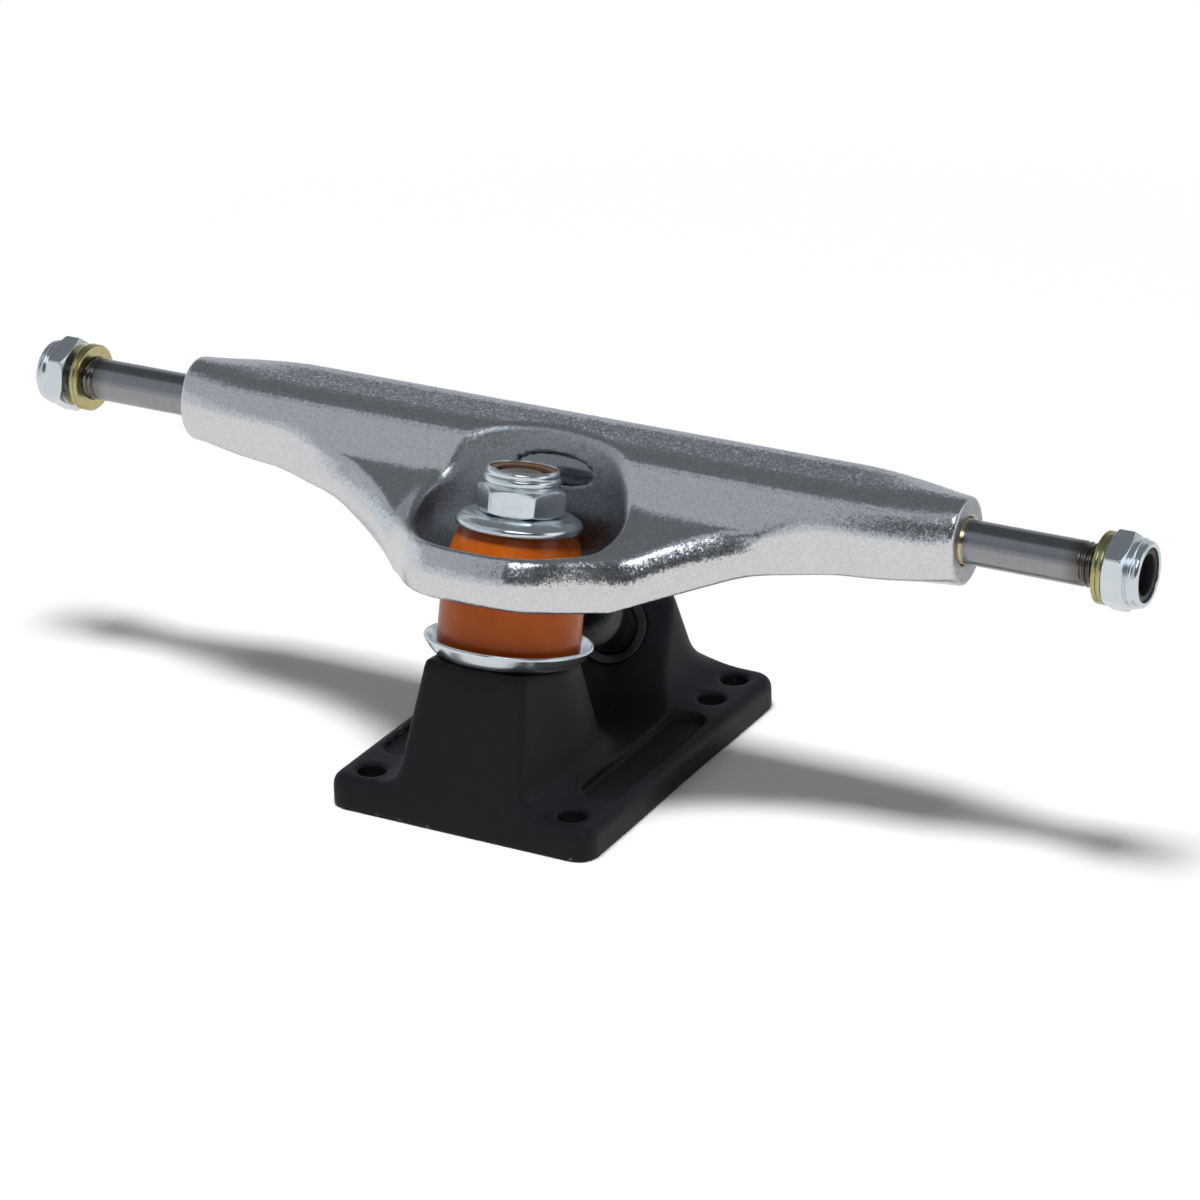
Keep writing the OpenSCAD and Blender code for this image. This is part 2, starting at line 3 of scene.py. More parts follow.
import bmesh
import bpy
import numpy as np
from mathutils import Matrix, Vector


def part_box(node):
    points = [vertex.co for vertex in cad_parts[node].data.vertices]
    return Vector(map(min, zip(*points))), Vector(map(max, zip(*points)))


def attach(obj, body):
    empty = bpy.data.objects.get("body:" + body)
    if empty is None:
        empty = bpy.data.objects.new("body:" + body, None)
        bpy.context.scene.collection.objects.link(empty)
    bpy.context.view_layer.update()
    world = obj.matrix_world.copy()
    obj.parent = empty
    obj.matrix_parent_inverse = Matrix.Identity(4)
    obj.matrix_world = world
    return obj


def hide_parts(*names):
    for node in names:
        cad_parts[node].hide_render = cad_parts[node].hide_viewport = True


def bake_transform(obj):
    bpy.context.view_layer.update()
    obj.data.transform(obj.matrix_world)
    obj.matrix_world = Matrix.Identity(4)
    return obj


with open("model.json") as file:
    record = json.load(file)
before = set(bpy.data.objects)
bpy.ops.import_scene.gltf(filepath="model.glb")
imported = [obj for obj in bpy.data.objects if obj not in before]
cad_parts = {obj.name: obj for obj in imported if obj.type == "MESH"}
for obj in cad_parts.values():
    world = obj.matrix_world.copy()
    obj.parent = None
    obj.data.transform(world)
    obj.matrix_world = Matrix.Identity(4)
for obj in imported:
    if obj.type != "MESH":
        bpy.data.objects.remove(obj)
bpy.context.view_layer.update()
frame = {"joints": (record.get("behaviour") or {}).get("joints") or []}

# Baseplate: one aluminium casting, painted satin black, that bolts under the board.
# Its front tower takes the leaning kingpin and its rear tower holds the pivot cup.
# The paint has the fine grain of the sand mould and is rubbed through on a few edges.

MM = 0.001


def soft_max(a, b, width):
    """The larger of two distances, with the corner between them rounded over a width."""
    reach = np.maximum(width - np.abs(a - b), 0) / width
    return np.maximum(a, b) + width / 4 * reach**2


def soft_min(a, b, width):
    """The smaller of two distances, with the corner between them filled over a width."""
    return -soft_max(-a, -b, width)


def along_axis(points, origin, axis):
    """Heights of points along an axis, and their distances from it."""
    gap = points - origin
    height = gap @ axis
    return height, np.linalg.norm(gap - height[..., None] * axis, axis=-1)


def hexagon_distance(a, b, flat):
    """Distance outside a hexagon with a corner on the a axis: the largest of its three pairs of flats."""
    slant = np.abs(a) * np.cos(np.pi / 6) + np.abs(b) * np.sin(np.pi / 6)
    return np.maximum(slant, np.abs(b)) - flat


plate_low, plate_high = (np.array(corner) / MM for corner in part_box("baseplate"))
plate_half_w = plate_high[0]
plate_half_l = (plate_high[1] - plate_low[1]) / 2
plate_mid = (plate_high[1] + plate_low[1]) / 2
plate_t = 6
plate_corner = 4.5
plate_edge = 2.4
front_lean = np.radians(16.7)
front_edge = 1.3
foot_fillets = 4.6, 6.5
tower_edges = 1.2, 1.4
bolt_x = 41.275 / 2
bolt_rows = np.array([-53.975 / 2, 53.975 / 2, 53.975 / 2 + 9.525])
bolt_r = 2.6
recess_r = 3.6
recess_half_l = 19.5
recess_depth = 1.2
cut_edge = 0.7

kingpin_lean = np.radians(13)
kingpin_seat = np.array([0, -12.6, 26.5])
kingpin_axis = np.array([0, np.sin(kingpin_lean), np.cos(kingpin_lean)])
kingpin_side = np.array([0, np.cos(kingpin_lean), -np.sin(kingpin_lean)])
kingpin_r = 9.525 / 2
head_flat = 14.29 / 2
head_h = 6
head_bottom = -25.14
head_gap = 0.3
fit_gap = 0.05

steer = next(joint for joint in frame["joints"] if joint["name"] == "hanger_steer")
pivot_mouth = np.array(steer["pos_m"]) / MM
steer_axis = np.array(steer["axis"])
cup_r = 13.8 / 2
cup_depth = 8


def kingpin_tower(x, y, z):
    """Walls of the front tower: two flanks each side that meet beside the kingpin, and a back, which all
    spread down."""
    front_half, mid_half, back_half = 9.0, 12.9, 6.6
    front_y, mid_y, back_y = -35.4, -8.5, 0.3
    flank_spread, back_spread = 0.18, 0.2
    flank_soft, back_soft = 5, 5.8
    spread = flank_spread * (kingpin_seat[2] - z)
    back = back_y + back_spread * (kingpin_seat[2] - z)
    run, rise = mid_y - front_y, mid_half - front_half
    front_flank = ((x - front_half - spread) * run - (y - front_y) * rise) / np.hypot(run, rise)
    run, rise = back - mid_y, mid_half - back_half
    back_flank = ((x - mid_half - spread) * run + (y - mid_y) * rise) / np.hypot(run, rise)
    return soft_max(soft_max(front_flank, back_flank, flank_soft), y - back, back_soft)


def pivot_tower(x, y, z):
    """Walls of the rear tower: sides and back that spread down from its top edge, and the flat top."""
    top_half, top_y, top_z, land = 10.3, 31.4, 22.9, 5.5
    side_spread, back_spread = 0.22, 0.2
    wall_soft, top_soft = 8, 2
    side = x - top_half - side_spread * (top_z - z)
    back = y - top_y - land - back_spread * (top_z - z)
    return soft_max(soft_max(side, back, wall_soft), z - top_z, top_soft)


def baseplate_field(points):
    """Distance outside the baseplate: plate and towers joined by foot fillets, trimmed to the plate's
    outline, to the leaning front wall and to the underside, less bolt holes, recesses, bores and pocket."""
    x, y, z = np.abs(points[..., 0]), points[..., 1], points[..., 2]
    height, from_kingpin = along_axis(points, kingpin_seat, kingpin_axis)
    depth, from_pivot = along_axis(points, pivot_mouth, steer_axis)
    front_tower = soft_max(kingpin_tower(x, y, z), height, tower_edges[0])
    rear_tower = soft_max(pivot_tower(x, y, z), depth, tower_edges[1])
    body = soft_min(soft_min(z - plate_t, front_tower, foot_fillets[0]), rear_tower, foot_fillets[1])
    corner_x = x - plate_half_w + plate_corner
    corner_y = np.abs(y - plate_mid) - plate_half_l + plate_corner
    inside = np.minimum(np.maximum(corner_x, corner_y), 0)
    outline = np.hypot(np.maximum(corner_x, 0), np.maximum(corner_y, 0)) + inside - plate_corner
    body = soft_max(body, outline, plate_edge)
    front_wall = z * np.sin(front_lean) - (y - plate_low[1]) * np.cos(front_lean)
    body = soft_max(body, front_wall, front_edge)
    body = soft_max(body, -z, cut_edge)
    from_bolt = np.hypot(x - bolt_x, np.abs(y[..., None] - bolt_rows).min(-1)) - bolt_r
    body = soft_max(body, -from_bolt, cut_edge)
    recess = np.hypot(x - bolt_x, np.maximum(np.abs(y) - recess_half_l + recess_r, 0)) - recess_r
    recess = soft_max(recess, plate_t - recess_depth - z, cut_edge)
    body = soft_max(body, -recess, cut_edge)
    bore = np.maximum(from_kingpin - kingpin_r - fit_gap, head_bottom - height)
    pocket = hexagon_distance(x, (points - kingpin_seat) @ kingpin_side, head_flat + head_gap)
    pocket = np.maximum(pocket, height - head_bottom - head_h)
    body = soft_max(body, -np.minimum(bore, pocket), cut_edge)
    cup_seat = np.maximum(from_pivot - cup_r - fit_gap, -cup_depth - depth)
    return soft_max(body, -cup_seat, cut_edge)


def layer(array, axis, first):
    """An array without its last layer along an axis, or without its first."""
    index = [slice(None)] * array.ndim
    index[axis] = slice(first, first + array.shape[axis] - 1)
    return array[tuple(index)]


def in_blocks(field, points, block=20000):
    """A field's values at a list of points, worked out a block at a time."""
    return np.concatenate([field(points[i:i + block]) for i in range(0, len(points), block)])


def field_slope(field, points, step=0.02):
    """Slope of a field: its change over a small step along each axis."""
    here = in_blocks(field, points)
    ahead = [in_blocks(field, points + step * axis) for axis in np.eye(3)]
    return here, (np.stack(ahead, axis=-1) - here[:, None]) / step


def cast_surface(field, low, high, step):
    """Skin of a casting that is alike on both sides, as points and four-sided faces. A surface net has one
    point in each grid cell that the surface passes through, at the mean of its crossings with the cell's
    edges, and one face across each crossed edge. Each point then slides down the field's slope on to the
    surface."""
    xs = np.arange(0, high[0] + 2 * step, step)
    ys = np.arange(low[1] - step, high[1] + 2 * step, step)
    zs = np.arange(low[2] - step, high[2] + 2 * step, step)
    half = np.stack([field(np.stack(np.meshgrid(x, ys, zs, indexing="ij"), axis=-1)[0]) for x in xs])
    value = np.concatenate([half[:0:-1], half])
    cells = tuple(n - 1 for n in value.shape)
    total = np.zeros(cells + (3,))
    hits = np.zeros(cells)
    crossings = []
    for axis in range(3):
        side, up = (axis + 1) % 3, (axis + 2) % 3
        start, end = layer(value, axis, 0), layer(value, axis, 1)
        cross = (start < 0) != (end < 0)
        share = np.where(cross, start / np.where(cross, start - end, 1), 0)
        crossings.append((side, up, cross, start < 0))
        for a, b in ((0, 0), (1, 0), (1, 1), (0, 1)):
            hit = layer(layer(cross, side, a), up, b)
            hits += hit
            total[..., axis] += layer(layer(share, side, a), up, b)
            total[..., side] += a * hit
            total[..., up] += b * hit
    crossed = hits > 0
    number = np.full(cells, -1)
    number[crossed] = np.arange(crossed.sum())
    origin = np.array([-xs[-1], ys[0], zs[0]])
    points = origin + step * (np.argwhere(crossed) + total[crossed] / hits[crossed][:, None])
    faces = []
    for side, up, cross, rising in crossings:
        inner = layer(layer(layer(layer(cross, side, 1), side, 0), up, 1), up, 0)
        outward = layer(layer(layer(layer(rising, side, 1), side, 0), up, 1), up, 0)[inner]
        ring = [layer(layer(number, side, a), up, b)[inner] for a, b in ((0, 0), (1, 0), (1, 1), (0, 1))]
        ring = np.stack(ring, axis=-1)
        faces.append(np.where(outward[:, None], ring, ring[:, ::-1]))
    for _ in range(2):
        here, slope = field_slope(field, points)
        points = points - (here / np.maximum((slope**2).sum(-1), 0.05))[:, None] * slope
    return points, np.concatenate(faces)


def edge_wear(points):
    """How sharply the baseplate turns outwards: the shortfall of depth at a point set into the metal."""
    depth = 1.2
    here, slope = field_slope(baseplate_field, points)
    inward = points - depth * slope / np.linalg.norm(slope, axis=-1, keepdims=True)
    return np.clip(1 + in_blocks(baseplate_field, inward) / depth, 0, 1)


def piece(name, skin, finish, node):
    """A finished piece in place of its CAD node, smooth shaded, with any doubled points merged."""
    points, faces = skin
    mesh = bpy.data.meshes.new(name)
    mesh.from_pydata((points * MM).tolist(), [], faces.tolist())
    work = bmesh.new()
    work.from_mesh(mesh)
    bmesh.ops.remove_doubles(work, verts=work.verts, dist=MM / 1000)
    work.to_mesh(mesh)
    work.free()
    mesh.shade_smooth()
    mesh.materials.append(finish)
    made = bpy.data.objects.new(name, mesh)
    bpy.context.scene.collection.objects.link(made)
    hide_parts(node)
    return made


def mark(made, name, measure):
    """Stores a measure of a piece's points, given in millimetres, for its material to read."""
    points = np.empty(3 * len(made.data.vertices))
    made.data.vertices.foreach_get("co", points)
    values = measure(points.reshape(-1, 3) / MM)
    made.data.attributes.new(name, "FLOAT", "POINT").data.foreach_set("value", values)


class Wire:
    """A shader socket: arithmetic on it adds Math nodes, and add() puts in any other node."""

    def __init__(self, tree, socket=None):
        self.tree = tree
        self.socket = socket

    def add(self, kind, settings, sockets, out=0):
        """A new node of a kind, with its settings, then its sockets' values or links; gives one output."""
        node = self.tree.nodes.new(kind)
        for name, value in settings.items():
            if name == "stops":
                for i, (place, colour) in enumerate(value):
                    elements = node.color_ramp.elements
                    stop = elements[i] if i < 2 else elements.new(place)
                    stop.position = place
                    stop.color = colour
            else:
                setattr(node, name, value)
        for name, value in sockets.items():
            if isinstance(value, Wire):
                self.tree.links.new(value.socket, node.inputs[name])
            else:
                node.inputs[name].default_value = value
        return Wire(self.tree, node.outputs[out] if node.outputs else None)

    def maths(self, operation, first, second):
        return self.add("ShaderNodeMath", {"operation": operation}, {0: first, 1: second})

    def __add__(self, other):
        return self.maths("ADD", self, other)

    def __sub__(self, other):
        return self.maths("SUBTRACT", self, other)

    def __rsub__(self, other):
        return self.maths("SUBTRACT", other, self)

    def __mul__(self, other):
        return self.maths("MULTIPLY", self, other)

    __radd__ = __add__
    __rmul__ = __mul__

    def clear_of(self, low, high):
        """0 below low, 1 above high and a straight climb between."""
        sockets = {"Value": self, "From Min": low, "From Max": high}
        return self.add("ShaderNodeMapRange", {"clamp": True}, sockets)


def empty_material(name):
    """A material without nodes, and a wire into its tree."""
    material = bpy.data.materials.new(name)
    material.use_nodes = True
    material.node_tree.nodes.clear()
    return material, Wire(material.node_tree)


def new_finish(name):
    """A material without a shader yet, and the wire of its Object coordinates."""
    material, wire = empty_material(name)
    return material, wire.add("ShaderNodeTexCoord", {}, {}, "Object")


def noise(place, grain, detail=2.0, roughness=0.5):
    """Cloudy noise whose grains are about the given size in millimetres."""
    sockets = {"Vector": place, "Scale": 1 / (grain * MM), "Detail": detail, "Roughness": roughness}
    return place.add("ShaderNodeTexNoise", {}, sockets, "Fac")


def grains(place, size, out):
    """Random cells of the given size in millimetres: each cell's own colour, or another output."""
    return place.add("ShaderNodeTexVoronoi", {}, {"Vector": place, "Scale": 1 / (size * MM)}, out)


def grey_of(colour):
    """One channel of a colour, as a value."""
    return colour.add("ShaderNodeSeparateColor", {}, {"Color": colour}, "Red")


def bumped(height, depth):
    """Normals of a relief whose height runs from 0 to 1 over a depth in millimetres."""
    return height.add("ShaderNodeBump", {}, {"Height": height, "Distance": depth * MM, "Strength": 1.0})


def mixed(share, low, high):
    """A colour between two others."""
    return share.add("ShaderNodeMix", {"data_type": "RGBA"}, {0: share, 6: low, 7: high}, 2)


def surface(place, sockets):
    """Ends a material in one principled shader."""
    skin = place.add("ShaderNodeBsdfPrincipled", {}, sockets)
    place.add("ShaderNodeOutputMaterial", {}, {"Surface": skin})


def black_paint():
    """Satin black over a sand casting: fine grain, faint cloudy sheen, bare metal on rubbed edges."""
    material, place = new_finish("satin_black_paint")
    edge = place.add("ShaderNodeAttribute", {"attribute_name": "edge"}, {}, "Fac")
    cloud = noise(place, 9, 3)
    grain = noise(place, 0.35, 3, 0.65)
    rubbed = (edge * 1.6 + noise(place, 2.2, 4) - 1).clear_of(0.42, 0.55)
    colour = mixed(cloud, (0.0065, 0.0065, 0.009, 1), (0.011, 0.0105, 0.014, 1))
    surface(place, {
        "Base Color": mixed(rubbed, colour, (0.23, 0.23, 0.24, 1)),
        "Metallic": rubbed,
        "Specular IOR Level": 0.22,
        "Roughness": 0.4 + 0.16 * grain + 0.08 * cloud,
        "Normal": bumped(grain, 0.05),
    })
    return material


baseplate_cell = 0.55
baseplate_skin = cast_surface(baseplate_field, plate_low, plate_high, baseplate_cell)
baseplate = piece("cast_baseplate", baseplate_skin, black_paint(), "baseplate")
mark(baseplate, "edge", edge_wear)
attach(baseplate, "base")

# Pivot cup: a moulded black plastic liner pressed into the rear tower.
# The hanger's round nose turns in its rounded well.


def rounded(outline, setbacks, steps=6):
    """A closed outline whose corners become curves. Each curve starts a setback from its corner, or short
    of the middle of a short side, and is the parabola that touches both sides there."""
    before = np.roll(outline, 1, axis=-2) - outline
    after = np.roll(outline, -1, axis=-2) - outline
    reach = np.asarray(setbacks, float)[..., None]
    lengths = [np.maximum(np.linalg.norm(side, axis=-1, keepdims=True), 1e-6) for side in (before, after)]
    start = before * np.minimum(reach / lengths[0], 0.45)
    end = after * np.minimum(reach / lengths[1], 0.45)
    share = np.linspace(0, 1, steps + 1)[:, None]
    curve = start[..., None, :] * (1 - share) ** 2 + end[..., None, :] * share**2 + outline[..., None, :]
    return curve.reshape(*outline.shape[:-2], -1, 2)


def divided(outline, spacing):
    """A closed outline with more points along its sides, none further apart than a spacing."""
    side = np.roll(outline, -1, axis=0) - outline
    count = np.maximum(np.ceil(np.linalg.norm(side, axis=1) / spacing), 1).astype(int)
    start = np.repeat(np.arange(len(outline)), count)
    share = (np.arange(count.sum()) - np.repeat(np.cumsum(count) - count, count)) / count[start]
    return outline[start] + share[:, None] * side[start]


def turned(outline, origin, axis, side, steps=180, shape=None):
    """Skin of a turned piece. The closed outline's points (radius, height) go round the axis, starting at
    the side direction, and shape(radius, height, angle) may change the radius on the way."""
    angle = 2 * np.pi * np.arange(steps) / steps
    radius = outline[:, :1] + 0 * angle
    height = outline[:, 1:] + 0 * angle
    if shape is not None:
        radius = shape(radius, height, angle)
    around = np.cos(angle)[:, None] * side + np.sin(angle)[:, None] * np.cross(axis, side)
    points = origin + height[..., None] * axis + radius[..., None] * around
    number = np.arange(radius.size).reshape(radius.shape)
    after = np.roll(number, -1, axis=0)
    ring = [number, np.roll(number, -1, axis=1), np.roll(after, -1, axis=1), after]
    return points.reshape(-1, 3), np.stack(ring, axis=-1).reshape(-1, 4)


cup_wall = 1.8
nose_gap = 0.2
nose_r = cup_r - cup_wall - nose_gap
side_x = np.array([1.0, 0, 0])


def moulded_black():
    """Slightly glossy moulded plastic with faint flow clouds."""
    material, place = new_finish("moulded_black_plastic")
    cloud = noise(place, 3, 3)
    surface(place, {
        "Base Color": mixed(cloud, (0.012, 0.012, 0.013, 1), (0.022, 0.022, 0.024, 1)),
        "Roughness": 0.32 + 0.15 * cloud,
        "Normal": bumped(noise(place, 0.5, 2), 0.02),
    })
    return material


well = nose_r + nose_gap
well_turn = np.linspace(-np.pi / 2, 0, 14)
well_middle = cup_wall + well - cup_depth
well_arc = np.stack([well * np.cos(well_turn), well_middle + well * np.sin(well_turn)], axis=-1)
cup_rim = rounded(np.array([[well, -0.5], [well, 0], [cup_r, 0], [cup_r, -0.5]]), [0, 0.4, 0.4, 0])
cup_outline = np.concatenate([well_arc, cup_rim, [[cup_r, -cup_depth], [0, -cup_depth]]])
cup_skin = turned(divided(cup_outline, 0.5), pivot_mouth, steer_axis, side_x, 120)
pivot_cup = piece("moulded_pivot_cup", cup_skin, moulded_black(), "pivot_cup")
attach(pivot_cup, "base")

# Kingpin: a steel bolt with a hex head, dropped in from under the baseplate and leaning to the axle.
# Its rolled thread ends just inside the nut, where the cut end shows a bronze passivation.


def hexagonal(flat, turn=0.0, width=0.25):
    """A shape for turned(): cuts six flats, and softens the edges where they meet the turned surface."""
    def shape(radius, height, angle):
        facet = np.mod(angle - turn, np.pi / 3) - np.pi / 6
        return soft_min(radius, flat / np.cos(facet), width)
    return shape


def threaded(pitch, depth, start, end):
    """A shape for turned(): a helical V groove of a pitch and depth that fades in and out at two heights."""
    def shape(radius, height, angle):
        phase = np.mod(height / pitch - angle / (2 * np.pi), 1)
        groove = np.clip(1.25 * np.abs(2 * phase - 1) - 0.1, 0, 1)
        fade = np.clip((height - start) / pitch, 0, 1) * np.clip((end - height) / pitch + 1, 0, 1)
        return radius - depth * groove * fade
    return shape


kingpin_end = 34.1
thread_pitch = 25.4 / 24
kingpin_thread_start, kingpin_thread_depth = 20.0, 0.55


def kingpin_steel():
    """Zinc-plated steel with a bronze tint all over, clouded lighter and darker."""
    material, place = new_finish("bronzed_steel")
    cloud = noise(place, 1.2, 3)
    surface(place, {
        "Base Color": mixed(cloud, (0.42, 0.33, 0.25, 1), (0.68, 0.58, 0.47, 1)),
        "Metallic": 1.0,
        "Roughness": 0.2 + 0.18 * cloud,
        "Normal": bumped(noise(place, 0.2, 2), 0.01),
    })
    return material


head_seat = head_bottom + head_h
head_corner = head_flat / np.cos(np.pi / 6)
kingpin_outline = rounded(np.array([
    [0, head_bottom],
    [head_flat, head_bottom],
    [head_corner, head_bottom + 0.6],
    [head_corner, head_seat],
    [kingpin_r, head_seat],
    [kingpin_r, kingpin_end - 0.7],
    [kingpin_r - 0.8, kingpin_end],
    [0, kingpin_end],
]), [0, 0.3, 0.1, 0.2, 0.4, 0.1, 0.2, 0])
kingpin_cut = hexagonal(head_flat)
kingpin_thread = threaded(thread_pitch, kingpin_thread_depth, kingpin_thread_start, kingpin_end)


def kingpin_shape(radius, height, angle):
    """Flats on the head and a thread on the far end; points on the axis stay there."""
    return np.where(radius > 1, kingpin_thread(kingpin_cut(radius, height, angle), height, angle), radius)


kingpin_skin = turned(divided(kingpin_outline, 0.2), kingpin_seat, kingpin_axis, side_x, 120, kingpin_shape)
kingpin = piece("rolled_kingpin", kingpin_skin, kingpin_steel(), "kingpin")
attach(kingpin, "base")

# Bottom cup washer: pressed steel plated in bright zinc, a dish that turns up round the bottom bushing.
# It lies on the front tower's seat, and the kingpin passes through it.


def bright_zinc():
    """Bluish bright zinc plating: near mirror, with small ripples and a faint cloud of tarnish."""
    material, place = new_finish("bright_zinc_plate")
    cloud = noise(place, 4, 4)
    ripple = noise(place, 1.6, 2)
    surface(place, {
        "Base Color": mixed(cloud, (0.7, 0.77, 0.81, 1), (0.82, 0.87, 0.9, 1)),
        "Metallic": 0.95,
        "Roughness": 0.11 + 0.15 * cloud,
        "Normal": bumped(ripple + 0.25 * noise(place, 0.3, 2), 0.03),
    })
    return material


zinc = bright_zinc()
washer_bore = kingpin_r + fit_gap
bottom_washer_outline = rounded(np.array([
    [washer_bore, 0],
    [13.2, 0],
    [15.5, 3.3],
    [15.0, 3.8],
    [13.4, 1.5],
    [washer_bore, 1.5],
]), [0.2, 2.0, 0.4, 0.4, 1.0, 0.2])
bottom_washer_skin = turned(divided(bottom_washer_outline, 0.3), kingpin_seat, kingpin_axis, side_x)
bottom_washer = piece("pressed_bottom_washer", bottom_washer_skin, zinc, "bottom_cup_washer")
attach(bottom_washer, "base")

# Bottom bushing: a cast urethane barrel, burnt orange, between the bottom washer and the hanger's ring.
# Its foot is held by the washer and its crown by the ring.


def urethane(name, deep, bright, roughness):
    """Cast urethane: glossy and slightly see-through, with soft clouds and faint mould lines."""
    material, place = new_finish(name)
    cloud = noise(place, 7, 2)
    surface(place, {
        "Base Color": mixed(cloud.clear_of(0.3, 0.7), deep, bright),
        "Roughness": roughness + 0.1 * noise(place, 1.5, 3),
        "Subsurface Weight": 0.25,
        "Subsurface Radius": (1.0, 0.35, 0.1),
        "Subsurface Scale": 2.5 * MM,
        "Specular IOR Level": 0.25,
        "Coat Weight": 0.06,
        "Coat Roughness": 0.12,
        "Normal": bumped(noise(place, 2.5, 2), 0.04),
    })
    return material


bottom_bushing_r = 13
bottom_bushing_foot = 1.5
ring_seat = 14.5
bottom_bushing_outline = rounded(np.array([
    [washer_bore, bottom_bushing_foot],
    [bottom_bushing_r, bottom_bushing_foot],
    [bottom_bushing_r, ring_seat],
    [washer_bore, ring_seat],
]), [0.3, 0.9, 0.9, 0.3])
bottom_bushing_skin = turned(divided(bottom_bushing_outline, 0.4), kingpin_seat, kingpin_axis, side_x)
bottom_orange = urethane("bottom_orange_urethane", (0.52, 0.09, 0.001, 1), (0.64, 0.13, 0.002, 1), 0.2)
bottom_bushing = piece(
    "poured_bottom_bushing", bottom_bushing_skin, bottom_orange, "bottom_bushing")


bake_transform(bottom_bushing)

# Hanger: the cast and tumbled aluminium bar that holds the axle, with a lip round the kingpin's ring,
# wings that run out from the lip to the bar, a bowl for the top bushing and an arm down to the pivot.

hanger_low, hanger_high = (np.array(corner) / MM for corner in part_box("hanger"))
hanger_half = hanger_high[0]
axle_y, axle_z = 10.8, 55.0
bar_front, bar_back = axle_y - 10, axle_y + 8.3
bar_top, bar_bottom = axle_z + 8.95, axle_z - 8.8
end_half_y, end_half_z = 6.7, 8.05
end_taper = 24
lip_y = axle_y - 36.8
chin_half = 12
chin_soft, wing_soft = 4.2, 9
chin_bow = 0.8
wing_half = 48
wing_start, wing_merge = 24, 39
web_slope = 0.53
ring_web = 3.5
lip_bottom, lip_top = ring_seat - 2.1, ring_seat + 7.5
keel_y, keel_half = 6, 27
bowl_floor = ring_seat + ring_web
bowl_half, bowl_back, bowl_front = 19.8, 12.7, 19.5
bowl_fillets = 1.6, 9
bowl_fillet_half = 15
bowl_rim = 1.5
lip_wall, lip_wall_soft = 2.2, 3
ring_hole_r = 7.5
ring_seat_r = bottom_bushing_r + 0.4
axle_bore = 7.94 / 2 + 0.35
nose_l, nose_fillet = 9, 2.5
end_edge, machined_edge = 0.8, 0.6
hanger_cell = 0.5

# Corners of the section, from the lip's front, the bar's front and the axle's middle
edge_out, edge_in, edge_climb = 0.8, 2.4, 0.45
shoulder_out, shoulder_drop = 1.5, 4.4
ridge_in, ridge_gap, ridge_soft = 1.3, 0.8, 1
ridge_drops = 1.4, 6
crease_out, crease_drop, crease_rise = 1.3, 0.4, 1.5
brow_y, brow_drop = axle_y - 6.2, 1.6
section_setbacks = [2, 3, 1.4, 2.2, 3.5, 4.6, 5, 4]
section_steps = 5


def mix(a, b, share):
    """A value between a and b."""
    return a + (b - a) * share


def ease(share):
    """0 to 1 with a slow start and end."""
    share = np.clip(share, 0, 1)
    return share * share * (3 - 2 * share)


def kingpin_plane(height, y):
    """Height z of the plane square to the kingpin at a height along it, at a distance y."""
    return kingpin_seat[2] + (height - np.sin(kingpin_lean) * (y - kingpin_seat[1])) / np.cos(kingpin_lean)


def flank_y(u):
    """Front of the lip at a half width u: straight across the chin, then a parabola back to the bar."""
    bend_u = mix(chin_half, wing_half, 0.41)
    bend_y = mix(lip_y, bar_front, 0.81)
    curve, run = chin_half - 2 * bend_u + wing_half, bend_u - chin_half
    out = np.clip(np.abs(u), chin_half, wing_half) - chin_half
    share = (np.sqrt(run**2 + curve * out) - run) / curve
    return mix(mix(lip_y, bend_y, share), mix(bend_y, bar_front, share), share)


def lip_line(u):
    """The lip's front, averaged over a width so that it turns gently, with the chin bowed a little."""
    reach = mix(chin_soft, wing_soft, ease((u - wing_start) / (wing_merge - wing_start)))
    eased = np.mean([flank_y(u + share * reach) for share in np.linspace(-1, 1, 9)], axis=0)
    return eased - chin_bow * np.maximum(1 - (u / chin_half) ** 2, 0) ** 2


def beyond_merge(u, start, length):
    """0 to 1 over a length that starts a distance out from the wings' merge with the bar."""
    return ease((u - wing_merge - start) / length)


